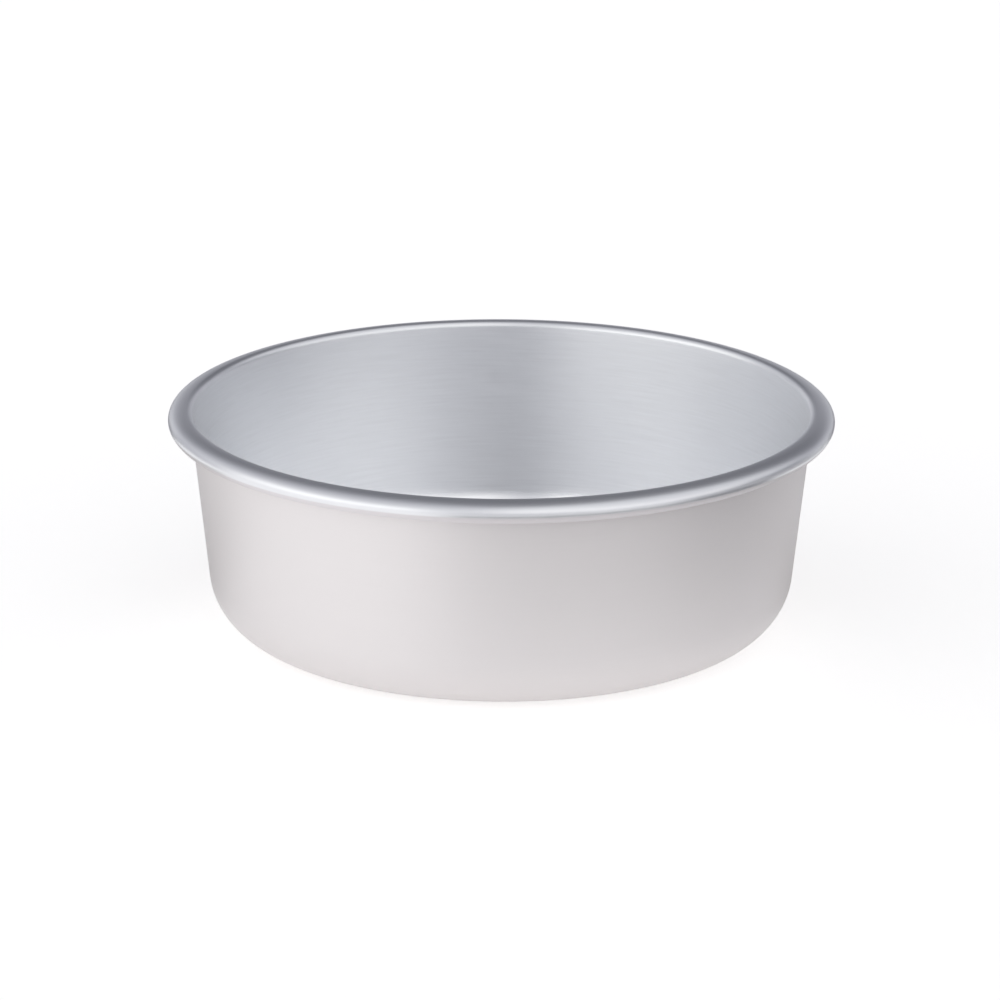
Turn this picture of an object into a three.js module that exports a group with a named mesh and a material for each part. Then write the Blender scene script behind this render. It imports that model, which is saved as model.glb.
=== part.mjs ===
// A round cake pan pressed from one aluminium sheet, with its rim rolled outwards round a steel wire.
// Millimetres, +Z up. The origin is the centre of the underside, on the surface that the pan stands on.
import * as THREE from "three";

// Driving dimensions of the pan.
const MOUTH_DIAMETER = 222; // inside, where the wall meets the rolled rim
const HEIGHT = 82; // underside of the base to the top of the rim
const SHEET = 1.2; // thickness of the aluminium
const WALL_LEAN = 6; // degrees that the wall leans outwards, so that a cake slides out
const CORNER_RADIUS = 22; // outside radius between base and wall

// Driving dimensions of the rolled rim and the wire in it.
const WIRE_DIAMETER = 4.8;
const WIRE_CLEARANCE = 0.5; // between the wire and the sheet beside it, above it and below it
const ROLL_WIDTH = 9; // from the wall's inner face to the outermost edge of the roll
const SHOULDER_RADIUS = 2.4; // of the inside edge, where the wall bends outwards into the roll
const ROLL_GAP = 0.5; // between the sheet's turned-under edge and the wall
const WIRE_END_GAP = 3; // between the two butted ends of the wire

// How finely the round surfaces are faceted.
const FACETS_AROUND = 72;
const FACETS_CORNER = 7;
const FACETS_SHOULDER = 6;
const FACETS_ROLL = 14;
const FACETS_WIRE = 12;

const lean = THREE.MathUtils.degToRad(WALL_LEAN);

// The wall bends outwards along a tight arc, the shoulder, and the roll goes on from there as a wide oval.
// These are the sizes of the sheet's middle line there. Arc and oval meet at the top of the rim.
const rollTop = HEIGHT - SHEET / 2;
const shoulder = SHOULDER_RADIUS - SHEET / 2;
const rollStart = Math.PI - lean;
const rollHalfHeight = WIRE_DIAMETER / 2 + WIRE_CLEARANCE + SHEET / 2;
const rollCentre = new THREE.Vector2(
  MOUTH_DIAMETER / 2 + (SHEET / 2) * Math.cos(lean) - shoulder * Math.cos(rollStart),
  rollTop - rollHalfHeight,
);
const rollHalfWidth = MOUTH_DIAMETER / 2 + ROLL_WIDTH - SHEET / 2 - rollCentre.x;

// One place on the sheet's middle line: its radius and height, and the direction that faces out of the pan.
function place(radius, height, outRadius, outHeight) {
  const out = new THREE.Vector2(outRadius, outHeight).normalize();
  return { middle: new THREE.Vector2(radius, height), out };
}

// A place on the rolled rim. Out of the pan is towards the wire, because the rim is rolled outwards.
function rollPlace(angle) {
  const onShoulder = angle > Math.PI / 2;
  const halfWidth = onShoulder ? shoulder : rollHalfWidth;
  const halfHeight = onShoulder ? shoulder : rollHalfHeight;
  const across = halfWidth * Math.cos(angle);
  const up = halfHeight * Math.sin(angle);
  return place(
    rollCentre.x + across,
    rollTop - halfHeight + up,
    -across / halfWidth ** 2,
    -up / halfHeight ** 2,
  );
}

// The face of the sheet on one side: +1 faces out of the pan, -1 faces into it.
function face(at, side) {
  return at.middle.clone().addScaledVector(at.out, (side * SHEET) / 2);
}

// The wall's outer face at a height, as a radius.
function wallFaceRadius(height) {
  const top = face(rollPlace(rollStart), 1);
  return top.x - (top.y - height) * Math.tan(lean);
}

// The roll goes on until its edge is a gap away from the wall, found by halving the range of angles.
function rollEnd() {
  let open = -Math.PI / 2;
  let shut = -Math.PI;
  for (let step = 0; step < 40; step += 1) {
    const angle = (open + shut) / 2;
    const edge = face(rollPlace(angle), -1);
    const gap = (edge.x - wallFaceRadius(edge.y)) * Math.cos(lean);
    if (gap > ROLL_GAP) open = angle;
    else shut = angle;
  }
  return open;
}

// The sheet's middle line, from the centre of the base to the turned-under edge of the rim.
function middleLine() {
  const cornerRadius = CORNER_RADIUS - SHEET / 2;
  const wallTop = rollPlace(rollStart);
  const cornerHeight = CORNER_RADIUS;
  // The corner's centre lies its radius inside the wall's line, square to the wall.
  const wallAtCorner = wallTop.middle.x - (wallTop.middle.y - cornerHeight) * Math.tan(lean);
  const cornerCentre = wallAtCorner - cornerRadius / Math.cos(lean);

  const line = [place(0, SHEET / 2, 0, -1)];
  for (let step = 0; step <= FACETS_CORNER; step += 1) {
    const angle = -Math.PI / 2 + (Math.PI / 2 - lean) * (step / FACETS_CORNER);
    const across = Math.cos(angle);
    const up = Math.sin(angle);
    line.push(place(cornerCentre + cornerRadius * across, cornerHeight + cornerRadius * up, across, up));
  }
  const top = Math.PI / 2;
  for (let step = 0; step < FACETS_SHOULDER; step += 1) {
    line.push(rollPlace(rollStart + (top - rollStart) * (step / FACETS_SHOULDER)));
  }
  const last = rollEnd();
  for (let step = 0; step <= FACETS_ROLL; step += 1) {
    line.push(rollPlace(top + (last - top) * (step / FACETS_ROLL)));
  }
  return line;
}

// The pan is the closed section of the sheet, turned round the vertical axis.
function panShell() {
  const line = middleLine();
  const outer = line.map((at) => face(at, 1));
  const inner = line.map((at) => face(at, -1)).reverse();
  const geometry = new THREE.LatheGeometry([...outer, ...inner], FACETS_AROUND);
  geometry.rotateX(Math.PI / 2);
  const material = new THREE.MeshStandardMaterial({ color: 0xcfcdd0, roughness: 0.4, metalness: 1 });
  const mesh = new THREE.Mesh(geometry, material);
  mesh.name = "pan_shell";
  return mesh;
}

// The wire's middle line: a level ring, open where its ends butt.
class WireRing extends THREE.Curve {
  constructor(radius, endGap) {
    super();
    this.radius = radius;
    this.endGap = endGap;
  }

  getPoint(t) {
    const missing = this.endGap / this.radius;
    const angle = missing / 2 + (2 * Math.PI - missing) * t;
    return new THREE.Vector3(this.radius * Math.cos(angle), this.radius * Math.sin(angle), 0);
  }
}

// The round wire that the rim is rolled over. It lies close to the wall, with its ends at the back of the pan.
function rimWire() {
  const ringRadius = wallFaceRadius(rollCentre.y) + WIRE_CLEARANCE + WIRE_DIAMETER / 2;
  const section = new THREE.Shape();
  section.absarc(0, 0, WIRE_DIAMETER / 2, 0, 2 * Math.PI, false);
  const geometry = new THREE.ExtrudeGeometry(section, {
    steps: FACETS_AROUND,
    curveSegments: FACETS_WIRE / 2,
    bevelEnabled: false,
    extrudePath: new WireRing(ringRadius, WIRE_END_GAP),
  });
  const material = new THREE.MeshStandardMaterial({ color: 0x9b9c9f, roughness: 0.45, metalness: 1 });
  const mesh = new THREE.Mesh(geometry, material);
  mesh.position.z = rollCentre.y;
  mesh.rotation.z = Math.PI / 2;
  mesh.name = "rim_wire";
  return mesh;
}

const cakePan = new THREE.Group();
cakePan.add(panShell(), rimWire());

export default cakePan;
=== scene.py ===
# %% [markdown]
# # A spun aluminium cake pan
# A real cake pan of this kind is one disc of aluminium. A press or a spinning lathe turns it into a
# dish, and rollers then curl its edge outwards round a steel wire. The lesson follows the same order:
# the line that the sheet follows, the dish that this line sweeps out, its finishes, the wire, and at
# last the studio and the camera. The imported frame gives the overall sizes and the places, so nothing has
# to be fitted by eye.

import math

import bpy
from mathutils import Matrix, Vector


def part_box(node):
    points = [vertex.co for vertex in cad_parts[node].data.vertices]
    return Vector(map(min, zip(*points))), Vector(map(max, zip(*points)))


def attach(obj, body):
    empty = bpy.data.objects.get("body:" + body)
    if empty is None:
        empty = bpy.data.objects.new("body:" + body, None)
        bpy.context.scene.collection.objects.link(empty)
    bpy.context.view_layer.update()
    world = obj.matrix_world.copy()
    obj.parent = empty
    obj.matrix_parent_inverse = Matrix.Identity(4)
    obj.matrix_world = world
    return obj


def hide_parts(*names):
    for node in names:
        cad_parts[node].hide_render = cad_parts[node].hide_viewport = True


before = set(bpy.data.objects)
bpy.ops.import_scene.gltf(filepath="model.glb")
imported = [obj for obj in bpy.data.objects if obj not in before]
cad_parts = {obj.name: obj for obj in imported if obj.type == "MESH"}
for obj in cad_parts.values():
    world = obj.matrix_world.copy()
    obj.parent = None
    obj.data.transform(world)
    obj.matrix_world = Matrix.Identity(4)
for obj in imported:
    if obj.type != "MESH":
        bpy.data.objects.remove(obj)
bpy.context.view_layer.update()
SHELL_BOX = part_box("pan_shell")
WIRE_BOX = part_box("rim_wire")

# %% [markdown]
# ## Sizes
# Blender works in metres here, and a pan is easier to think of in millimetres, so a size is written in
# millimetres times MM. The overall sizes come from the frame, which is already packed. The rest are the
# pan's own driving sizes: the sheet, the lean of the wall, the corner, the shoulder where the wall bends
# outwards, and the roll. A radius here is that of the sheet's middle, so half a sheet comes off the
# radius of the outside.

# %% Sizes of the pan
MM = 0.001
RIM_RADIUS = SHELL_BOX[1][0]
HEIGHT = SHELL_BOX[1][2]
SHEET = 1.2 * MM
LEAN = math.radians(6.0)
CORNER_RADIUS = 22.0 * MM - SHEET / 2
ROLL_WIDTH = 9.0 * MM
SHOULDER = 2.4 * MM - SHEET / 2
ROLL_GAP = 0.5 * MM
WIRE_CLEARANCE = 0.5 * MM
WIRE_RADIUS = (WIRE_BOX[1][2] - WIRE_BOX[0][2]) / 2
WIRE_END_GAP = 3.0 * MM

ROLL_HALF_HEIGHT = WIRE_RADIUS + WIRE_CLEARANCE + SHEET / 2
ROLL_RADIUS = RIM_RADIUS - ROLL_WIDTH + (SHEET / 2 + SHOULDER) * math.cos(LEAN)
ROLL_HALF_WIDTH = RIM_RADIUS - SHEET / 2 - ROLL_RADIUS
ROLL_TOP = HEIGHT - SHEET / 2
ROLL_HEIGHT = ROLL_TOP - ROLL_HALF_HEIGHT
RING_RADIUS = WIRE_BOX[1][0] - WIRE_RADIUS
print(f"rim {2000 * RIM_RADIUS:.1f} mm across, {1000 * HEIGHT:.1f} mm tall")
print(f"the wire's ring is {2000 * RING_RADIUS:.1f} mm across at {1000 * ROLL_HEIGHT:.1f} mm")

# %% [markdown]
# ## The line that the sheet follows
# Cut the pan through its axis, and the sheet shows as a thin bent strip: a floor, a round corner, a
# leaning wall, a tight shoulder and a wide oval roll. Drawing both faces of the strip by hand is easy to
# get wrong. It is simpler to draw the line along its middle and to give it thickness at the end, as the
# real sheet has. Only a few points of that line need working out.


# %% Key points of the rim
def roll_point(angle):
    """A point of the roll's oval in (radius, height), at an angle from the direction away from the axis."""
    return Vector((
        ROLL_RADIUS + ROLL_HALF_WIDTH * math.cos(angle),
        ROLL_HEIGHT + ROLL_HALF_HEIGHT * math.sin(angle),
        0.0,
    ))


def shoulder_point(angle):
    """A point of the tight arc that bends the wall outwards. It meets the oval at the top of the rim."""
    return Vector((
        ROLL_RADIUS + SHOULDER * math.cos(angle),
        ROLL_TOP + SHOULDER * (math.sin(angle) - 1.0),
        0.0,
    ))


ROLL_START = math.pi / 2
SHOULDER_START = math.pi - LEAN
RIM_TOP = roll_point(ROLL_START)
SHOULDER_MIDDLE = shoulder_point((SHOULDER_START + ROLL_START) / 2)
WALL_TOP = shoulder_point(SHOULDER_START)
print(f"the wall ends at radius {1000 * WALL_TOP.x:.2f} mm, the rim's top lies at {1000 * RIM_TOP.x:.2f} mm")

# %% Key points of the corner and the floor
wall_at_corner = WALL_TOP.x - (WALL_TOP.y - CORNER_RADIUS - SHEET / 2) * math.tan(LEAN)
CORNER_CENTRE = Vector((
    wall_at_corner - CORNER_RADIUS / math.cos(LEAN),
    CORNER_RADIUS + SHEET / 2,
    0.0,
))


def corner_point(angle):
    """A point of the corner's arc, at an angle from level."""
    return CORNER_CENTRE + CORNER_RADIUS * Vector((math.cos(angle), math.sin(angle), 0.0))


FLOOR_CENTRE = Vector((0.0, SHEET / 2, 0.0))
FLOOR_EDGE = corner_point(-math.pi / 2)
WALL_FOOT = corner_point(-LEAN)
CORNER_MIDDLE = corner_point(-(math.pi / 2 + LEAN) / 2)
print(f"the floor ends at radius {1000 * FLOOR_EDGE.x:.2f} mm")
print(f"the wall starts at radius {1000 * WALL_FOOT.x:.2f} mm")

# %% [markdown]
# ## Where the roll ends
# On the real rim the sheet's edge tucks in under the roll and stops just short of the wall. The angle
# could be solved on paper, but the gap depends on the oval, the lean and the sheet at once. Turning the
# roll on in small steps until the gap is as small as it should be is easier to read, and it still works
# when a size changes.

# %% Turn the roll until it nearly meets the wall
ROLL_STEP = math.radians(0.05)


def gap_to_wall(angle):
    """Clear distance from the rolled-under edge to the wall's outer face, if the roll ended here."""
    out = Vector((math.cos(angle) / ROLL_HALF_WIDTH, math.sin(angle) / ROLL_HALF_HEIGHT, 0.0)).normalized()
    edge = roll_point(angle) + out * SHEET / 2
    wall = WALL_TOP.x - (WALL_TOP.y - edge.y) * math.tan(LEAN)
    return (edge.x - wall) * math.cos(LEAN) - SHEET / 2


ROLL_END = -math.pi / 2
while gap_to_wall(ROLL_END) > ROLL_GAP:
    ROLL_END -= ROLL_STEP
ROLL_TURN = ROLL_END - ROLL_START
print("the roll turns through", round(math.degrees(-ROLL_TURN), 1), "degrees")

# %% [markdown]
# ## A helper for node trees
# Geometry and materials are both node trees. They could be built by hand in Blender's editors, but a
# script can be read and run again. One small function adds a node, sets its options, and either fills an
# input with a value or links it to another node's output, so that a tree reads from top to bottom like a
# recipe.


# %% Add a node
def add(tree, kind, inputs=None, **options):
    """Adds a node to a tree. An input is a value, an output socket to link, or a list of sockets to join."""
    node = tree.nodes.new(kind)
    for name, value in options.items():
        setattr(node, name, value)
    for name, value in (inputs or {}).items():
        for item in value if isinstance(value, list) else [value]:
            if isinstance(item, bpy.types.NodeSocket):
                tree.links.new(item, node.inputs[name])
            else:
                node.inputs[name].default_value = item
    return node


# %% [markdown]
# ## The dish
# The dish follows one rule: the middle line goes once round the axis. The Spin operator or a Screw
# modifier could do that, but a node tree keeps every size as a named input. The line is drawn with
# radius along X and height along Y, and is swept along the ring through the middle of the roll. The tree
# also notes for each point how far along the sheet it lies, which the finishes use later.

# %% Inputs of the dish's tree
LENGTH = "NodeSocketFloat"
POINT = "NodeSocketVector"
COUNT = "NodeSocketInt"
MATERIAL = "NodeSocketMaterial"
DISH_INPUTS = {
    "Ring Radius": LENGTH, "Ring Height": LENGTH, "Roll Half Width": LENGTH, "Roll Half Height": LENGTH,
    "Roll Start": LENGTH, "Roll Turn": LENGTH,
    "Floor Centre": POINT, "Floor Edge": POINT, "Corner Middle": POINT, "Wall Foot": POINT,
    "Wall Top": POINT, "Shoulder Middle": POINT, "Rim Top": POINT,
    "Floor Steps": COUNT, "Corner Steps": COUNT, "Wall Steps": COUNT, "Shoulder Steps": COUNT,
    "Roll Steps": COUNT, "Steps Around": COUNT,
    "Material": MATERIAL,
}


def new_tree(name, inputs):
    """A Geometry Nodes tree with named inputs and one mesh as its output."""
    tree = bpy.data.node_groups.new(name, "GeometryNodeTree")
    for label, kind in inputs.items():
        tree.interface.new_socket(label, in_out="INPUT", socket_type=kind)
    tree.interface.new_socket("Geometry", in_out="OUTPUT", socket_type="NodeSocketGeometry")
    return tree


print("the dish's tree has", len(DISH_INPUTS), "inputs")

# %% [markdown]
# ### The line as one curve
# Floor and wall are straight, the corner and the shoulder are arcs through three points, and the roll is
# a part of a circle scaled to an oval. One Bezier curve could go through all of it, but its handles
# would only come near a true arc. A node for each stretch is exact, and lets the points lie close where
# the sheet bends and far apart where it is straight. A weld then joins the five stretches.

# %% Draw the sheet's line
WELD = 0.02 * MM


def sheet_line(tree, size, ring_place):
    """The middle line as one curve, from the centre of the floor to the rolled-under edge."""
    floor = add(tree, "GeometryNodeCurvePrimitiveLine", {
        "Start": size["Floor Centre"], "End": size["Floor Edge"],
    }).outputs[0]
    floor = add(tree, "GeometryNodeResampleCurve", {"Curve": floor, "Count": size["Floor Steps"]}).outputs[0]
    corner = add(tree, "GeometryNodeCurveArc", {
        "Resolution": size["Corner Steps"], "Start": size["Floor Edge"],
        "Middle": size["Corner Middle"], "End": size["Wall Foot"],
    }, mode="POINTS").outputs["Curve"]
    wall = add(tree, "GeometryNodeCurvePrimitiveLine", {
        "Start": size["Wall Foot"], "End": size["Wall Top"],
    }).outputs[0]
    wall = add(tree, "GeometryNodeResampleCurve", {"Curve": wall, "Count": size["Wall Steps"]}).outputs[0]
    shoulder = add(tree, "GeometryNodeCurveArc", {
        "Resolution": size["Shoulder Steps"], "Start": size["Wall Top"],
        "Middle": size["Shoulder Middle"], "End": size["Rim Top"],
    }, mode="POINTS").outputs["Curve"]
    circle = add(tree, "GeometryNodeCurveArc", {
        "Resolution": size["Roll Steps"], "Radius": 1.0,
        "Start Angle": size["Roll Start"], "Sweep Angle": size["Roll Turn"],
    }, mode="RADIUS").outputs["Curve"]
    oval = add(tree, "ShaderNodeCombineXYZ", {
        "X": size["Roll Half Width"], "Y": size["Roll Half Height"], "Z": 1.0,
    }).outputs[0]
    roll = add(tree, "GeometryNodeTransform", {
        "Geometry": circle, "Scale": oval, "Translation": ring_place,
    }).outputs[0]
    stretches = [floor, corner, wall, shoulder, roll]
    edges = [add(tree, "GeometryNodeCurveToMesh", {"Curve": stretch}).outputs[0] for stretch in stretches]
    joined = add(tree, "GeometryNodeJoinGeometry", {"Geometry": edges}).outputs[0]
    welded = add(tree, "GeometryNodeMergeByDistance", {"Geometry": joined, "Distance": WELD}).outputs[0]
    line = add(tree, "GeometryNodeMeshToCurve", {"Mesh": welded}).outputs[0]
    # The welded line starts at the roll. Reversed, it starts at the floor, and the faces look inwards.
    return add(tree, "GeometryNodeReverseCurve", {"Curve": line}).outputs[0]


# %% [markdown]
# ### The sweep
# Curve to Mesh carries a profile along a path. Here the profile is the sheet's line and the path is a
# level circle, which gives the same result as a lathe. The stored attribute is called along, and its
# value is the distance from the centre of the floor, measured on the sheet.


# %% Sweep the line round the ring
def dish_tree():
    tree = new_tree("dish swept from its sheet line", DISH_INPUTS)
    size = add(tree, "NodeGroupInput").outputs
    ring_place = add(tree, "ShaderNodeCombineXYZ", {
        "X": size["Ring Radius"], "Y": size["Ring Height"],
    }).outputs[0]
    line = sheet_line(tree, size, ring_place)
    # A swept profile takes its X away from the axis and its Y downwards, so the line is turned over first.
    to_ring = add(tree, "ShaderNodeVectorMath", {0: ring_place, "Scale": -1.0}, operation="SCALE").outputs[0]
    line = add(tree, "GeometryNodeTransform", {"Geometry": line, "Translation": to_ring}).outputs[0]
    line = add(tree, "GeometryNodeTransform", {"Geometry": line, "Rotation": (math.pi, 0.0, 0.0)}).outputs[0]
    along = add(tree, "GeometryNodeSplineParameter").outputs["Length"]
    line = add(tree, "GeometryNodeStoreNamedAttribute", {
        "Geometry": line, "Name": "along", "Value": along,
    }, data_type="FLOAT", domain="POINT").outputs[0]
    ring = add(tree, "GeometryNodeCurvePrimitiveCircle", {
        "Resolution": size["Steps Around"], "Radius": size["Ring Radius"],
    }).outputs["Curve"]
    ring = add(tree, "GeometryNodeSetCurveNormal", {"Curve": ring}, mode="Z_UP").outputs[0]
    dish = add(tree, "GeometryNodeCurveToMesh", {"Curve": ring, "Profile Curve": line}).outputs[0]
    lift = add(tree, "ShaderNodeCombineXYZ", {"Z": size["Ring Height"]}).outputs[0]
    dish = add(tree, "GeometryNodeTransform", {"Geometry": dish, "Translation": lift}).outputs[0]
    # The line's first point lies on the axis, so its copies are welded to one point there.
    dish = add(tree, "GeometryNodeMergeByDistance", {"Geometry": dish, "Distance": WELD}).outputs[0]
    dish = add(tree, "GeometryNodeRealizeInstances", {"Geometry": dish}).outputs[0]
    dish = add(tree, "GeometryNodeSetMaterial", {"Geometry": dish, "Material": size["Material"]}).outputs[0]
    add(tree, "NodeGroupOutput", {"Geometry": dish})
    print(tree.name, "has", len(tree.nodes), "nodes")
    return tree


# %% [markdown]
# ### From a tree to a mesh
# A tree runs as a modifier on an empty mesh. The frame takes plain meshes, so what the modifiers make is
# copied out of the evaluated object, and the modifiers are removed. Smooth shading with sharp edges only
# where two faces meet steeply keeps round surfaces round and the cut edge of the sheet crisp.

# %% Run a tree and keep its mesh
SHARP_ANGLE = math.radians(50.0)


def grow(name, tree, sizes):
    """An object whose mesh a tree makes. Each input is set by its socket's identifier."""
    piece = bpy.data.objects.new(name, bpy.data.meshes.new(name))
    bpy.context.scene.collection.objects.link(piece)
    modifier = piece.modifiers.new(tree.name, "NODES")
    modifier.node_group = tree
    for socket in tree.interface.items_tree:
        if socket.in_out == "INPUT":
            modifier[socket.identifier] = sizes[socket.name]
    return piece


def make_plain(piece):
    """Keeps what a piece's modifiers make as a plain mesh, and removes the modifiers."""
    shape = piece.evaluated_get(bpy.context.evaluated_depsgraph_get())
    mesh = bpy.data.meshes.new_from_object(shape)
    piece.modifiers.clear()
    piece.data = mesh
    mesh.name = piece.name
    mesh.shade_smooth()
    mesh.set_sharp_from_angle(angle=SHARP_ANGLE)
    print(piece.name, "has", len(mesh.vertices), "points and", len(mesh.polygons), "faces")
    return mesh


# %% [markdown]
# ## Finishes
# All of the pan is aluminium, but each place was worked by another tool. The lathe left fine lines
# inside that run round the pan. The rollers that closed the rim burnished its top and side, so these
# mirror the studio. The outside was rubbed to a fine satin. Painted colours could imitate that in one
# view only. Bare metal is fully metallic, keeps the shader's own IOR, and shows its finish by roughness,
# so it looks right from every side.


# %% Colours and an empty material
def linear(colour):
    """A linear RGBA colour from an sRGB hex value."""
    channels = [int(colour[place:place + 2], 16) / 255 for place in (1, 3, 5)]
    red, green, blue = [c / 12.92 if c <= 0.04045 else ((c + 0.055) / 1.055) ** 2.4 for c in channels]
    return (red, green, blue, 1.0)


def new_material(name):
    """An empty material with its tree and its Principled shader."""
    material = bpy.data.materials.new(name)
    material.use_nodes = True
    tree = material.node_tree
    tree.nodes.clear()
    shader = add(tree, "ShaderNodeBsdfPrincipled")
    add(tree, "ShaderNodeOutputMaterial", {"Surface": shader.outputs[0]})
    return material, tree, shader


print("middle grey is", round(linear("#808080")[0], 3), "in linear light")

# %% [markdown]
# ### Turned lines
# A turned line is long and thin, so the pattern needs one direction that runs round the pan and one that
# runs along the sheet from the floor's centre to the rim. The second is the attribute that the dish's
# tree stored. An angle would do for the first, but it jumps where a circle closes. The direction away
# from the axis, from Object coordinates, has no such seam.

# %% Lines that run round the pan
WITHOUT_HEIGHT = (1.0, 1.0, 0.0)


def turned_lines(tree, spacing, streak, detail):
    """Noise drawn out into lines round the pan, at a spacing. A streak is the angle that one line runs."""
    along = add(tree, "ShaderNodeAttribute", attribute_name="along").outputs["Fac"]
    across = add(tree, "ShaderNodeMath", {0: along, 1: spacing}, operation="DIVIDE").outputs[0]
    place = add(tree, "ShaderNodeTexCoord").outputs["Object"]
    flat = add(tree, "ShaderNodeVectorMath", {0: place, 1: WITHOUT_HEIGHT}, operation="MULTIPLY").outputs[0]
    away = add(tree, "ShaderNodeVectorMath", {0: flat}, operation="NORMALIZE").outputs[0]
    spread = add(tree, "ShaderNodeVectorMath", {
        0: away, "Scale": 1.0 / streak,
    }, operation="SCALE").outputs[0]
    lines = add(tree, "ShaderNodeCombineXYZ", {"Z": across}).outputs[0]
    where = add(tree, "ShaderNodeVectorMath", {0: spread, 1: lines}, operation="ADD").outputs[0]
    return add(tree, "ShaderNodeTexNoise", {"Vector": where, "Scale": 1.0, "Detail": detail}).outputs["Fac"]


# %% [markdown]
# ### Where one finish passes into the next
# The rollers touched the pan from the top of the wall, over the shoulder and round the side of the roll,
# and left its underside dull. The attribute along tells these places apart, so all that is needed is
# their distance from the floor's centre. Arcs have a formula for that. An oval has none, so its length
# is summed over chords.

# %% Distances along the sheet
CORNER_LENGTH = CORNER_RADIUS * (math.pi / 2 - LEAN)
WALL_LENGTH = (WALL_TOP - WALL_FOOT).length
SHOULDER_LENGTH = SHOULDER * (SHOULDER_START - ROLL_START)
ALONG_WALL_FOOT = FLOOR_EDGE.x + CORNER_LENGTH
ALONG_WALL_TOP = ALONG_WALL_FOOT + WALL_LENGTH
ALONG_RIM_TOP = ALONG_WALL_TOP + SHOULDER_LENGTH
CHORDS = 100


def along_roll(angle):
    """How far along the sheet a point of the roll's oval lies, summed over short chords."""
    turns = [ROLL_START + (angle - ROLL_START) * step / CHORDS for step in range(CHORDS + 1)]
    chords = [(roll_point(after) - roll_point(before)).length for before, after in zip(turns, turns[1:])]
    return ALONG_RIM_TOP + sum(chords)


print(f"along the sheet, the shoulder starts at {1000 * ALONG_WALL_TOP:.1f} mm")
print(f"the rim's top lies at {1000 * ALONG_RIM_TOP:.1f} mm, its side at {1000 * along_roll(0.0):.1f} mm")

# %% [markdown]
# ### Spun aluminium: the inside and the roll
# The inside keeps the marks of the lathe, lines a few centimetres long. They could be modelled as
# grooves, but these are a hundredth of a millimetre deep, so a faint bump and a little change of tone
# and roughness is enough. The lines spread a highlight across themselves, up and down the wall, which is
# what the shader's anisotropy does with a tangent that runs round the Z axis. Floor and corner were
# pressed against a form and came out smoother than the wall.

# %% Spun aluminium of the inside and the roll
LINE_DARK = linear("#f5f6f8")
LINE_LIGHT = linear("#fafbfd")
ROLL_COLOUR = linear("#eff0f3")
UNDERSIDE_COLOUR = linear("#e6e3e5")
# Real turned lines lie about 0.2 mm apart, which is less than a pixel here, so they are drawn coarser.
INSIDE_LINES = 0.8 * MM
INSIDE_STREAK = math.radians(9.0)
INSIDE_DETAIL = 3.0
# The noise seldom leaves this range, so the tone is spread over it.
NOISE_LOW = 0.3
NOISE_HIGH = 0.7
INSIDE_ROUGHNESS = 0.4
CORNER_ROUGHNESS = 0.24
LINE_ROUGHNESS = 0.02
LINE_DEPTH = 0.01 * MM
BUMP_STRENGTH = 0.3
INSIDE_ANISOTROPY = 0.5
# A quarter of a turn from the tangent, which is across the lines.
ACROSS_LINES = 0.25
ROLL_ROUGHNESS = 0.36
UNDERSIDE_ROUGHNESS = 0.6
CORNER_UNTIL = ALONG_WALL_FOOT - 6.0 * MM
WALL_FROM = ALONG_WALL_FOOT + 1.0 * MM
BURNISH_FROM = ALONG_WALL_TOP
BURNISH_TO = ALONG_WALL_TOP + 1.6 * MM
UNDERSIDE_FROM = along_roll(math.radians(-5.0))
UNDERSIDE_TO = along_roll(math.radians(-15.0))


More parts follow.
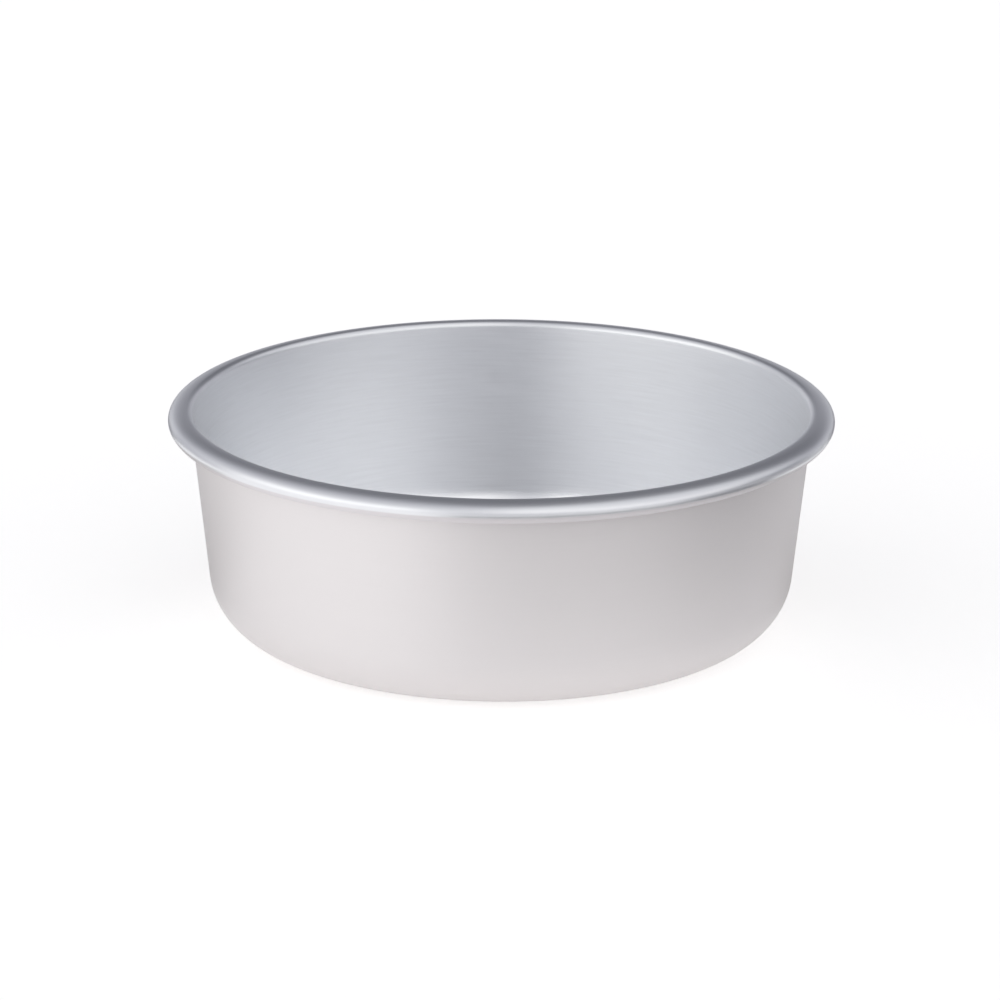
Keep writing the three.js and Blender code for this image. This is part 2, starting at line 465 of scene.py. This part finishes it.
def spun_inside():
    # Bare spun aluminium gives the eye a pale silver with soft highlights drawn out across its fine lines.
    material, tree, shader = new_material("spun_aluminium_inside")
    lines = turned_lines(tree, INSIDE_LINES, INSIDE_STREAK, INSIDE_DETAIL)
    along = add(tree, "ShaderNodeAttribute", attribute_name="along").outputs["Fac"]
    burnished = add(tree, "ShaderNodeMapRange", {
        "Value": along, "From Min": BURNISH_FROM, "From Max": BURNISH_TO,
    }, interpolation_type="SMOOTHSTEP").outputs["Result"]
    dull = add(tree, "ShaderNodeMapRange", {
        "Value": along, "From Min": UNDERSIDE_FROM, "From Max": UNDERSIDE_TO,
    }, interpolation_type="SMOOTHSTEP").outputs["Result"]
    tone = add(tree, "ShaderNodeMapRange", {
        "Value": lines, "From Min": NOISE_LOW, "From Max": NOISE_HIGH,
    }).outputs["Result"]
    turned = add(tree, "ShaderNodeMapRange", {
        "Value": tone,
        "To Min": INSIDE_ROUGHNESS - LINE_ROUGHNESS, "To Max": INSIDE_ROUGHNESS + LINE_ROUGHNESS,
    }).outputs["Result"]
    on_wall = add(tree, "ShaderNodeMapRange", {
        "Value": along, "From Min": CORNER_UNTIL, "From Max": WALL_FROM,
    }, interpolation_type="SMOOTHSTEP").outputs["Result"]
    lower = add(tree, "ShaderNodeMix", {0: on_wall, 2: CORNER_ROUGHNESS, 3: turned}).outputs[0]
    upper = add(tree, "ShaderNodeMix", {0: burnished, 2: lower, 3: ROLL_ROUGHNESS}).outputs[0]
    roughness = add(tree, "ShaderNodeMix", {0: dull, 2: upper, 3: UNDERSIDE_ROUGHNESS}).outputs[0]
    spun = add(tree, "ShaderNodeMix", {0: tone, 6: LINE_DARK, 7: LINE_LIGHT}, data_type="RGBA").outputs[2]
    shiny = add(tree, "ShaderNodeMix", {0: burnished, 6: spun, 7: ROLL_COLOUR}, data_type="RGBA").outputs[2]
    colour = add(tree, "ShaderNodeMix", {
        0: dull, 6: shiny, 7: UNDERSIDE_COLOUR,
    }, data_type="RGBA").outputs[2]
    bump = add(tree, "ShaderNodeBump", {
        "Height": lines, "Strength": BUMP_STRENGTH, "Distance": LINE_DEPTH,
    }).outputs[0]
    tangent = add(tree, "ShaderNodeTangent", direction_type="RADIAL", axis="Z").outputs[0]
    shader.inputs["Metallic"].default_value = 1.0
    shader.inputs["Anisotropic"].default_value = INSIDE_ANISOTROPY
    shader.inputs["Anisotropic Rotation"].default_value = ACROSS_LINES
    tree.links.new(colour, shader.inputs["Base Color"])
    tree.links.new(roughness, shader.inputs["Roughness"])
    tree.links.new(bump, shader.inputs["Normal"])
    tree.links.new(tangent, shader.inputs["Tangent"])
    return material


SPUN_INSIDE = spun_inside()
print(SPUN_INSIDE.name, "has", len(SPUN_INSIDE.node_tree.nodes), "nodes")

# %% [markdown]
# ### Satin aluminium: the outside
# The outside was rubbed with a fine abrasive while the pan turned. Its lines are closer and much fainter
# than those inside. A plain high roughness would come near it, but a trace of the lines keeps the
# surface from looking like paint, and the studio shows in it only as broad soft tones.

# %% Satin aluminium of the outside
OUTSIDE_COLOUR = linear("#f0eded")
# The abrasive's lines lie about 0.05 mm apart, too fine for the picture, so they are drawn coarser.
OUTSIDE_LINES = 0.4 * MM
OUTSIDE_STREAK = math.radians(40.0)
OUTSIDE_DETAIL = 2.0
OUTSIDE_ANISOTROPY = 0.4
OUTSIDE_ROUGHNESS = 0.66
RUB_ROUGHNESS = 0.03
RUB_DEPTH = 0.005 * MM


def satin_outside():
    # Satin aluminium gives the eye a pale warm grey without any clear reflection.
    material, tree, shader = new_material("satin_aluminium_outside")
    lines = turned_lines(tree, OUTSIDE_LINES, OUTSIDE_STREAK, OUTSIDE_DETAIL)
    roughness = add(tree, "ShaderNodeMapRange", {
        "Value": lines,
        "To Min": OUTSIDE_ROUGHNESS - RUB_ROUGHNESS, "To Max": OUTSIDE_ROUGHNESS + RUB_ROUGHNESS,
    }).outputs["Result"]
    bump = add(tree, "ShaderNodeBump", {
        "Height": lines, "Strength": BUMP_STRENGTH, "Distance": RUB_DEPTH,
    }).outputs[0]
    tangent = add(tree, "ShaderNodeTangent", direction_type="RADIAL", axis="Z").outputs[0]
    shader.inputs["Base Color"].default_value = OUTSIDE_COLOUR
    shader.inputs["Metallic"].default_value = 1.0
    shader.inputs["Anisotropic"].default_value = OUTSIDE_ANISOTROPY
    shader.inputs["Anisotropic Rotation"].default_value = ACROSS_LINES
    tree.links.new(roughness, shader.inputs["Roughness"])
    tree.links.new(bump, shader.inputs["Normal"])
    tree.links.new(tangent, shader.inputs["Tangent"])
    return material


SATIN_OUTSIDE = satin_outside()
print(SATIN_OUTSIDE.name, "has", len(SATIN_OUTSIDE.node_tree.nodes), "nodes")

# %% [markdown]
# ### The sheared edge
# The disc was cut out with shears, and its edge ends up under the roll, where hardly anyone looks. It
# could wear the satin, but a cut edge is torn rather than rubbed, so it gets a duller grey with a fine
# uneven grain.

# %% Sheared edge of the sheet
EDGE_COLOUR = linear("#c4c4c6")
EDGE_GRAIN = 0.4 * MM
EDGE_SMOOTH = 0.4
EDGE_ROUGH = 0.6


def sheared_edge():
    # A sheared edge gives the eye a narrow grey line, here shiny and there dull.
    material, tree, shader = new_material("sheared_aluminium_edge")
    place = add(tree, "ShaderNodeTexCoord").outputs["Object"]
    grain = add(tree, "ShaderNodeTexNoise", {"Vector": place, "Scale": 1.0 / EDGE_GRAIN}).outputs["Fac"]
    roughness = add(tree, "ShaderNodeMapRange", {
        "Value": grain, "To Min": EDGE_SMOOTH, "To Max": EDGE_ROUGH,
    }).outputs["Result"]
    shader.inputs["Base Color"].default_value = EDGE_COLOUR
    shader.inputs["Metallic"].default_value = 1.0
    tree.links.new(roughness, shader.inputs["Roughness"])
    return material


SHEARED_EDGE = sheared_edge()
print(SHEARED_EDGE.name, "has", len(SHEARED_EDGE.node_tree.nodes), "nodes")

# %% [markdown]
# ## Making the dish
# The tree gives the sheet's middle as a thin skin. Thickness could be added in the tree by extruding,
# but the Solidify modifier keeps it even round the bends when Even Thickness is on, and with an offset
# of zero it puts half of the sheet on each side of the skin.

# %% Make the dish
DISH_SIZES = {
    "Ring Radius": ROLL_RADIUS, "Ring Height": ROLL_HEIGHT,
    "Roll Half Width": ROLL_HALF_WIDTH, "Roll Half Height": ROLL_HALF_HEIGHT,
    "Roll Start": ROLL_START, "Roll Turn": ROLL_TURN,
    "Floor Centre": FLOOR_CENTRE, "Floor Edge": FLOOR_EDGE, "Corner Middle": CORNER_MIDDLE,
    "Wall Foot": WALL_FOOT, "Wall Top": WALL_TOP, "Shoulder Middle": SHOULDER_MIDDLE, "Rim Top": RIM_TOP,
    "Floor Steps": 12, "Corner Steps": 28, "Wall Steps": 16, "Shoulder Steps": 18, "Roll Steps": 49,
    "Steps Around": 320,
    "Material": SPUN_INSIDE,
}

dish = grow("pan_dish", dish_tree(), DISH_SIZES)
thickness = dish.modifiers.new("sheet", "SOLIDIFY")
thickness.thickness = SHEET
thickness.offset = 0.0
thickness.use_even_offset = True
dish_mesh = make_plain(dish)

# %% [markdown]
# ### A finish for each side
# Both sides of the sheet are one mesh, and each side needs its own material. They could be told apart by
# their normals, but the roll turns these every way. Solidify keeps the faces that it was given first,
# then adds the other side, then the strip that closes the cut edge, so a face's number tells which
# finish it wears.

# %% Give each side its finish
dish_mesh.materials.clear()
for finish in (SPUN_INSIDE, SATIN_OUTSIDE, SHEARED_EDGE):
    dish_mesh.materials.append(finish)
edge_faces = DISH_SIZES["Steps Around"]
side_faces = (len(dish_mesh.polygons) - edge_faces) // 2
for face in dish_mesh.polygons:
    face.material_index = face.index // side_faces
print("faces of each side", side_faces, "and of the cut edge", edge_faces)

# %% [markdown]
# ## The wire
# The wire is a steel ring with a small gap where its ends butt. It lies in the roll and hardly shows,
# but the rim would be soft without it. A torus would have no ends, so the wire is a circle swept along
# an arc, with its ends closed. They butt at the back, a quarter turn from X.

# %% A tree that sweeps the wire
WIRE_INPUTS = {
    "Ring Radius": LENGTH, "Ring Height": LENGTH, "Wire Radius": LENGTH, "End Gap": LENGTH,
    "Steps Around": COUNT, "Steps Across": COUNT, "Material": MATERIAL,
}
TO_THE_BACK = math.pi / 2


def wire_tree():
    tree = new_tree("wire ring with butted ends", WIRE_INPUTS)
    size = add(tree, "NodeGroupInput").outputs
    missing = add(tree, "ShaderNodeMath", {
        0: size["End Gap"], 1: size["Ring Radius"],
    }, operation="DIVIDE").outputs[0]
    # The arc starts half a gap past the back and stops half a gap before it.
    start = add(tree, "ShaderNodeMath", {
        0: missing, 1: 0.5, 2: TO_THE_BACK,
    }, operation="MULTIPLY_ADD").outputs[0]
    turn = add(tree, "ShaderNodeMath", {0: 2 * math.pi, 1: missing}, operation="SUBTRACT").outputs[0]
    ring = add(tree, "GeometryNodeCurveArc", {
        "Resolution": size["Steps Around"], "Radius": size["Ring Radius"],
        "Start Angle": start, "Sweep Angle": turn,
    }, mode="RADIUS").outputs["Curve"]
    section = add(tree, "GeometryNodeCurvePrimitiveCircle", {
        "Resolution": size["Steps Across"], "Radius": size["Wire Radius"],
    }).outputs["Curve"]
    wire = add(tree, "GeometryNodeCurveToMesh", {
        "Curve": ring, "Profile Curve": section, "Fill Caps": True,
    }).outputs[0]
    lift = add(tree, "ShaderNodeCombineXYZ", {"Z": size["Ring Height"]}).outputs[0]
    wire = add(tree, "GeometryNodeTransform", {"Geometry": wire, "Translation": lift}).outputs[0]
    wire = add(tree, "GeometryNodeMergeByDistance", {"Geometry": wire, "Distance": WELD}).outputs[0]
    wire = add(tree, "GeometryNodeRealizeInstances", {"Geometry": wire}).outputs[0]
    wire = add(tree, "GeometryNodeSetMaterial", {"Geometry": wire, "Material": size["Material"]}).outputs[0]
    add(tree, "NodeGroupOutput", {"Geometry": wire})
    print(tree.name, "has", len(tree.nodes), "nodes")
    return tree


# %% [markdown]
# ### Galvanised steel
# Steel wire for rims is dipped in zinc against rust. The zinc freezes in flat crystals, the spangle,
# each of its own grey. A Voronoi texture has the same cells, and one value for each cell sets both its
# tone and its gloss.

# %% Galvanised steel of the wire
WIRE_DARK = linear("#8d9094")
WIRE_LIGHT = linear("#b3b6b9")
WIRE_SMOOTH = 0.35
WIRE_ROUGH = 0.55
SPANGLE = 1.2 * MM


def galvanised_wire():
    # Galvanised steel gives the eye a bluish grey in small patches, some of them duller than others.
    material, tree, shader = new_material("galvanised_steel_wire")
    place = add(tree, "ShaderNodeTexCoord").outputs["Object"]
    spangle = add(tree, "ShaderNodeTexVoronoi", {"Vector": place, "Scale": 1.0 / SPANGLE}).outputs["Color"]
    tone = add(tree, "ShaderNodeSeparateColor", {"Color": spangle}).outputs[0]
    colour = add(tree, "ShaderNodeMix", {0: tone, 6: WIRE_DARK, 7: WIRE_LIGHT}, data_type="RGBA").outputs[2]
    roughness = add(tree, "ShaderNodeMapRange", {
        "Value": tone, "To Min": WIRE_SMOOTH, "To Max": WIRE_ROUGH,
    }).outputs["Result"]
    shader.inputs["Metallic"].default_value = 1.0
    tree.links.new(colour, shader.inputs["Base Color"])
    tree.links.new(roughness, shader.inputs["Roughness"])
    return material


GALVANISED_WIRE = galvanised_wire()
print(GALVANISED_WIRE.name, "has", len(GALVANISED_WIRE.node_tree.nodes), "nodes")

# %% [markdown]
# ### Making the wire
# The wire needs no thickness, because its section is closed already, so its tree's result is kept as it
# is.

# %% Make the wire
WIRE_SIZES = {
    "Ring Radius": RING_RADIUS, "Ring Height": ROLL_HEIGHT, "Wire Radius": WIRE_RADIUS,
    "End Gap": WIRE_END_GAP, "Steps Around": 240, "Steps Across": 24, "Material": GALVANISED_WIRE,
}

wire = grow("rim_wire_ring", wire_tree(), WIRE_SIZES)
make_plain(wire)

# %% [markdown]
# ## Studio
# Metal shows what stands round it, so the studio is designed as what the pan mirrors. Lamps could be
# placed as objects, but a dome of soft light round everything is easier to shade evenly. All of it is
# placed by directions as seen from the pan.


# %% Directions in the studio
def direction(azimuth, elevation):
    """A direction from the pan: azimuth 0 is the camera's side, 90 the right, elevation is above level."""
    a, e = math.radians(azimuth), math.radians(elevation)
    return Vector((math.sin(a) * math.cos(e), -math.cos(a) * math.cos(e), math.sin(e)))


print("to the right is", [round(part, 3) for part in direction(90.0, 0.0)])

# %% [markdown]
# ### Floor
# The pan stands on a white sheet of acrylic that is lit from below, as light tables for products are,
# which leaves hardly any shadow. A plain white floor under strong lamps would also be bright, but with a
# shadow on one side. Here the floor itself glows a little, and the dome's light does the rest.

# %% Lit floor
WHITE = (1.0, 1.0, 1.0, 1.0)
MATT = 0.9
FLOOR_COLOUR = linear("#d5d4d3")
FLOOR_GLOW = 0.575
FLOOR_RADIUS = 3.0
FLOOR_DROP = 0.05 * MM
RING_STEPS = 96


def flat_ring(name, inner, outer, start, end, height):
    """A level sector of a ring between two radii and two azimuths. With no inner radius it is a disc."""
    mesh = bpy.data.meshes.new(name)
    # A disc closes on its first point, and a ring has both of its ends.
    count = RING_STEPS + (inner > 0.0)
    ways = [direction(start + (end - start) * step / RING_STEPS, 0.0) for step in range(count)]
    lift = Vector((0.0, 0.0, height))
    points = [way * outer + lift for way in ways]
    if inner > 0.0:
        points += [way * inner + lift for way in reversed(ways)]
    mesh.from_pydata(points, [], [list(range(len(points)))])
    ring = bpy.data.objects.new(name, mesh)
    bpy.context.scene.collection.objects.link(ring)
    print(name, "reaches", outer, "m from the pan's axis")
    return ring


def lit_floor(name):
    # Lit acrylic gives the eye an even white without any gloss.
    material, tree, shader = new_material(name)
    shader.inputs["Base Color"].default_value = FLOOR_COLOUR
    shader.inputs["Roughness"].default_value = MATT
    shader.inputs["Specular IOR Level"].default_value = 0.0
    shader.inputs["Emission Color"].default_value = WHITE
    shader.inputs["Emission Strength"].default_value = FLOOR_GLOW
    return material, tree, shader


floor = flat_ring("floor", 0.0, FLOOR_RADIUS, 0.0, 360.0, -FLOOR_DROP)
acrylic, _, _ = lit_floor("white_acrylic_lit_from_below")
floor.data.materials.append(acrylic)

# %% [markdown]
# ### Cards
# A dark line along the rim shows how round it is. Photographers draw it with black or grey card that
# lies near the object. Real card would show on the floor, so these cards show only in the metal's
# reflections and cast no shadow. The one in front draws the line under the front of the roll, the larger
# one at the right carries it on, and the one behind keeps both ends of the rim from fading into the floor.
# A card on each side, close to the base, does the same for the edges of the wall.

# %% Cards that only the metal sees
# Radii are in metres from the pan's axis, and azimuths in degrees.
CARD_HEIGHT = 0.5 * MM
CARDS = (
    dict(name="black_card_in_front", colour="#58585a", inner=0.185, outer=0.30, start=-14.0, end=85.0),
    dict(name="grey_card_at_right", colour="#9a9a9e", inner=0.30, outer=0.70, start=55.0, end=125.0),
    dict(name="dark_card_behind", colour="#88888f", inner=0.20, outer=1.20, start=130.0, end=230.0),
    dict(name="grey_card_at_left", colour="#bebab4", inner=0.125, outer=0.27, start=231.0, end=272.0),
    dict(name="pale_card_at_right", colour="#cdc8c0", inner=0.115, outer=0.175, start=88.0, end=128.0),
)


def only_mirrored(sheet):
    """Keeps a stage sheet out of the picture, so that only reflections show it."""
    sheet.visible_camera = False
    sheet.visible_diffuse = False
    sheet.visible_shadow = False


def lay_card(name, colour, inner, outer, start, end):
    material, _, shader = new_material(name)
    shader.inputs["Base Color"].default_value = linear(colour)
    shader.inputs["Roughness"].default_value = MATT
    card = flat_ring(name, inner, outer, start, end, CARD_HEIGHT)
    card.data.materials.append(material)
    only_mirrored(card)


for card in CARDS:
    lay_card(**card)

# %% [markdown]
# ### Painted shadow round the base
# Close to the base the pan shades the floor, and the wall's lower part mirrors that. A floor that glows
# evenly would shine there too strongly. So a ring with a painted shadow dims the glow towards the base,
# in place of the pan's shadow. It too shows only in reflections.

# %% Painted shadow that dims the floor near the pan
SHADOW_RING_HEIGHT = 0.3 * MM
SHADOW_RING_INNER = 0.07
SHADOW_RING_DIM = 0.085
SHADOW_RING_OUTER = 0.17
SHADOW_RING_GLOW = 0.27


def painted_floor_shadow():
    material, tree, shader = lit_floor("painted_shadow_on_lit_acrylic")
    place = add(tree, "ShaderNodeTexCoord").outputs["Object"]
    radius = add(tree, "ShaderNodeVectorMath", {0: place}, operation="LENGTH").outputs["Value"]
    # Painted shadow: the glow is lowest near the base, where the pan would shade the floor.
    glow = add(tree, "ShaderNodeMapRange", {
        "Value": radius, "From Min": SHADOW_RING_DIM, "From Max": SHADOW_RING_OUTER,
        "To Min": SHADOW_RING_GLOW, "To Max": FLOOR_GLOW,
    }).outputs["Result"]
    tree.links.new(glow, shader.inputs["Emission Strength"])
    return material


# This ring carries the pan's painted shadow on the floor. Only reflections show it.
shadow_ring = flat_ring("painted_shadow_ring", SHADOW_RING_INNER, SHADOW_RING_OUTER, 0.0, 360.0, SHADOW_RING_HEIGHT)
shadow_ring.data.materials.append(painted_floor_shadow())
only_mirrored(shadow_ring)

# %% [markdown]
# ### Dome of soft light
# The light comes from a dome that is darkest high up behind the pan at the right, which the top of the
# roll mirrors as a dark band. Curved panels of brighter light hang in front of it. Area lamps would do
# as well, but panels drawn on the dome keep their place in every reflection, and each can have its own
# soft edge.

# %% A panel on the dome
# Azimuth, elevation and half sizes are in degrees. A feather is the width over which an edge fades.
PANELS = (
    # Two wide panels overhead, left and right, which light the inside.
    dict(azimuth=-78.0, elevation=51.0, half_width=71.0, half_height=40.0, brightness=0.32, feather=12.0),
    dict(azimuth=65.0, elevation=56.0, half_width=67.0, half_height=38.0, brightness=0.64, feather=12.0),
    # A low one at the left, which lights the outside.
    dict(azimuth=-65.0, elevation=19.0, half_width=42.0, half_height=20.0, brightness=0.51, feather=8.0),
    # Two slim ones, which draw the bright line along the roll.
    dict(azimuth=-54.0, elevation=20.0, half_width=29.0, half_height=6.0, brightness=0.38, feather=5.0),
    dict(azimuth=60.0, elevation=22.0, half_width=31.0, half_height=6.0, brightness=0.65, feather=4.0),
    # A faint one above the camera, which lights the corner inside and the middle of the roll's bright line.
    dict(azimuth=8.0, elevation=45.0, half_width=16.0, half_height=20.0, brightness=0.12, feather=10.0),
    # A low one behind, which lightens the rim at its left and right ends.
    dict(azimuth=170.0, elevation=5.0, half_width=45.0, half_height=11.0, brightness=0.4, feather=4.0),
)


def panel_light(tree, way, azimuth, elevation, half_width, half_height, brightness, feather):
    """What a curved panel of light adds in a direction."""
    flat = add(tree, "ShaderNodeVectorMath", {0: way, 1: WITHOUT_HEIGHT}, operation="MULTIPLY").outputs[0]
    flat = add(tree, "ShaderNodeVectorMath", {0: flat}, operation="NORMALIZE").outputs[0]
    facing = add(tree, "ShaderNodeVectorMath", {
        0: flat, 1: direction(azimuth, 0.0),
    }, operation="DOT_PRODUCT").outputs["Value"]
    across = add(tree, "ShaderNodeMapRange", {
        "Value": facing,
        "From Min": math.cos(math.radians(half_width + feather)),
        "From Max": math.cos(math.radians(half_width - feather)),
    }, interpolation_type="SMOOTHSTEP").outputs["Result"]
    level = add(tree, "ShaderNodeSeparateXYZ", {0: way}).outputs["Z"]
    height = add(tree, "ShaderNodeMath", {0: level}, operation="ARCSINE").outputs[0]
    low = elevation - half_height
    high = elevation + half_height
    above = add(tree, "ShaderNodeMapRange", {
        "Value": height,
        "From Min": math.radians(low - feather), "From Max": math.radians(low + feather),
    }, interpolation_type="SMOOTHSTEP").outputs["Result"]
    below = add(tree, "ShaderNodeMapRange", {
        "Value": height, "To Min": brightness, "To Max": 0.0,
        "From Min": math.radians(high - feather), "From Max": math.radians(high + feather),
    }, interpolation_type="SMOOTHSTEP").outputs["Result"]
    band = add(tree, "ShaderNodeMath", {0: above, 1: below}, operation="MULTIPLY").outputs[0]
    return add(tree, "ShaderNodeMath", {0: across, 1: band}, operation="MULTIPLY").outputs[0]


print("the dome has", len(PANELS), "panels")

# %% [markdown]
# ### The dome as a world
# A world shader gives a brightness for each direction. A gradient towards one direction makes the dome,
# the panels are added to it, and its darker parts get a faint blue, as a room away from the lamps has.
# The camera itself sees a plain pale backdrop past the floor's edge. The Standard view keeps white paper
# white.

# %% Dome
DOME_AZIMUTH = -41.0
DOME_ELEVATION = -36.0
DOME_FROM = -0.67
DOME_TO = -0.06
DOME_BACK = 0.15
DOME_FRONT = 0.40
DOME_DARK_TINT = linear("#eef0ff")
BACKDROP = 1.0


def studio_dome():
    world = bpy.data.worlds.new("studio_dome")
    world.use_nodes = True
    tree = world.node_tree
    tree.nodes.clear()
    way = add(tree, "ShaderNodeTexCoord").outputs["Generated"]
    facing = add(tree, "ShaderNodeVectorMath", {
        0: way, 1: direction(DOME_AZIMUTH, DOME_ELEVATION),
    }, operation="DOT_PRODUCT").outputs["Value"]
    light = add(tree, "ShaderNodeMapRange", {
        "Value": facing, "From Min": DOME_FROM, "From Max": DOME_TO,
        "To Min": DOME_BACK, "To Max": DOME_FRONT,
    }, interpolation_type="SMOOTHSTEP").outputs["Result"]
    for panel in PANELS:
        glow = panel_light(tree, way, **panel)
        light = add(tree, "ShaderNodeMath", {0: light, 1: glow}, operation="ADD").outputs[0]
    seen = add(tree, "ShaderNodeLightPath").outputs["Is Camera Ray"]
    strength = add(tree, "ShaderNodeMix", {0: seen, 2: light, 3: BACKDROP}).outputs[0]
    bright = add(tree, "ShaderNodeMapRange", {
        "Value": strength, "From Min": DOME_BACK, "From Max": 1.0,
    }).outputs["Result"]
    colour = add(tree, "ShaderNodeMix", {
        0: bright, 6: DOME_DARK_TINT, 7: WHITE,
    }, data_type="RGBA").outputs[2]
    shade = add(tree, "ShaderNodeBackground", {"Color": colour, "Strength": strength})
    add(tree, "ShaderNodeOutputWorld", {"Surface": shade.outputs[0]})
    print(world.name, "has", len(tree.nodes), "nodes")
    return world


bpy.context.scene.world = studio_dome()
bpy.context.scene.view_settings.view_transform = "Standard"

# %% [markdown]
# ## Camera
# The camera stands well back with a long lens, a little above the rim, so the pan's mouth shows as a
# flat ellipse. Where the pan sits in the picture could be set by shifting the lens. Aiming past the
# pan's centre does the same and leaves the lens plain.

# %% Camera
PAN_CENTRE = Vector((0.0, 0.0, HEIGHT / 2))
PICTURE = 1000
SENSOR = 36.0
# These follow from the pan's outline in the photo.
CAMERA_DISTANCE = 14.0 * RIM_RADIUS
CAMERA_ELEVATION = 17.79
CAMERA_ROLL = math.radians(0.228)
FOCAL_PIXELS = 4627.0
PAN_CENTRE_PIXEL = (501.1, 512.2)


def photo_camera():
    lens = bpy.data.cameras.new("camera")
    lens.sensor_fit = "HORIZONTAL"
    lens.sensor_width = SENSOR
    lens.lens = SENSOR * FOCAL_PIXELS / PICTURE
    camera = bpy.data.objects.new("camera", lens)
    back = direction(0.0, CAMERA_ELEVATION)
    turn = back.to_track_quat("Z", "Y").to_matrix().to_4x4()
    # Angles from the picture's middle to the pan's centre.
    right = math.atan((PAN_CENTRE_PIXEL[0] - PICTURE / 2) / FOCAL_PIXELS)
    down = math.atan((PAN_CENTRE_PIXEL[1] - PICTURE / 2) / FOCAL_PIXELS)
    aim = Matrix.Rotation(right, 4, "Y") @ Matrix.Rotation(down, 4, "X")
    roll = Matrix.Rotation(CAMERA_ROLL, 4, "Z")
    camera.matrix_world = Matrix.Translation(PAN_CENTRE + back * CAMERA_DISTANCE) @ turn @ roll @ aim
    bpy.context.scene.collection.objects.link(camera)
    print(f"lens {lens.lens:.0f} mm, {CAMERA_DISTANCE:.2f} m from the pan's centre")
    return camera


bpy.context.scene.camera = photo_camera()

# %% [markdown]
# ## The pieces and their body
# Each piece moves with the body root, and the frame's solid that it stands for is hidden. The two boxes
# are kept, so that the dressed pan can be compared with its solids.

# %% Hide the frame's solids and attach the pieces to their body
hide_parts("pan_shell")
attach(dish, "root")
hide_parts("rim_wire")
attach(wire, "root")
